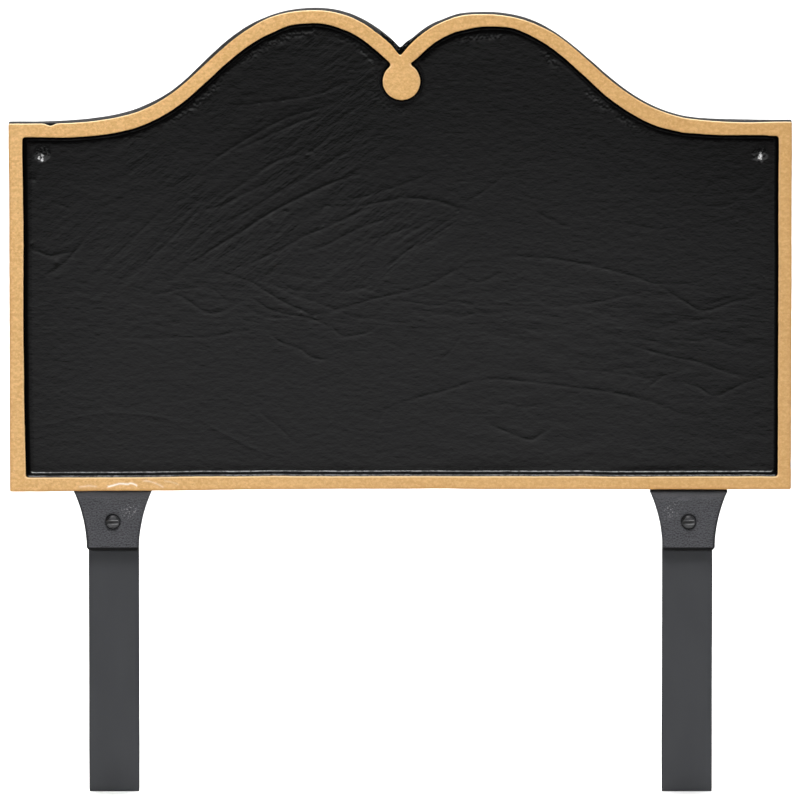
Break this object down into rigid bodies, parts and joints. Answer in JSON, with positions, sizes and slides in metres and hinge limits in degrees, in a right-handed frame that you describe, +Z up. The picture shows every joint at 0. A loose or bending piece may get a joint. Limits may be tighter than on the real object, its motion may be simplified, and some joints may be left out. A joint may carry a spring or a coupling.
{
  "type": "lawn address sign",
  "caption": "Cast lawn address sign: a blank twin-arched plaque with a raised gilt border and roundel, held up on flared brackets by flat stakes set in the ground.",
  "frame": {"origin": "on the ground line, midway between the two stakes and at the middle of their thickness", "axes": "the plaque's front faces -Y, +X is to the right seen from the front, and +Z is up"},
  "size_m": [0.4064, 0.0173, 0.4116],
  "materials": {
    "plaque_black": "satin",
    "bracket_grey": "satin",
    "stake_grey": "satin",
    "screw_grey": "satin"
  },
  "bodies": {
    "root": {"plaque": "plaque_black", "bracket_left": "bracket_grey", "bracket_right": "bracket_grey", "stake_left": "stake_grey", "stake_right": "stake_grey", "pad_screw_left": "screw_grey", "pad_screw_right": "screw_grey", "tongue_screw_left_1": "screw_grey", "tongue_screw_left_2": "screw_grey", "tongue_screw_right_1": "screw_grey", "tongue_screw_right_2": "screw_grey"}
  },
  "joints": []
}
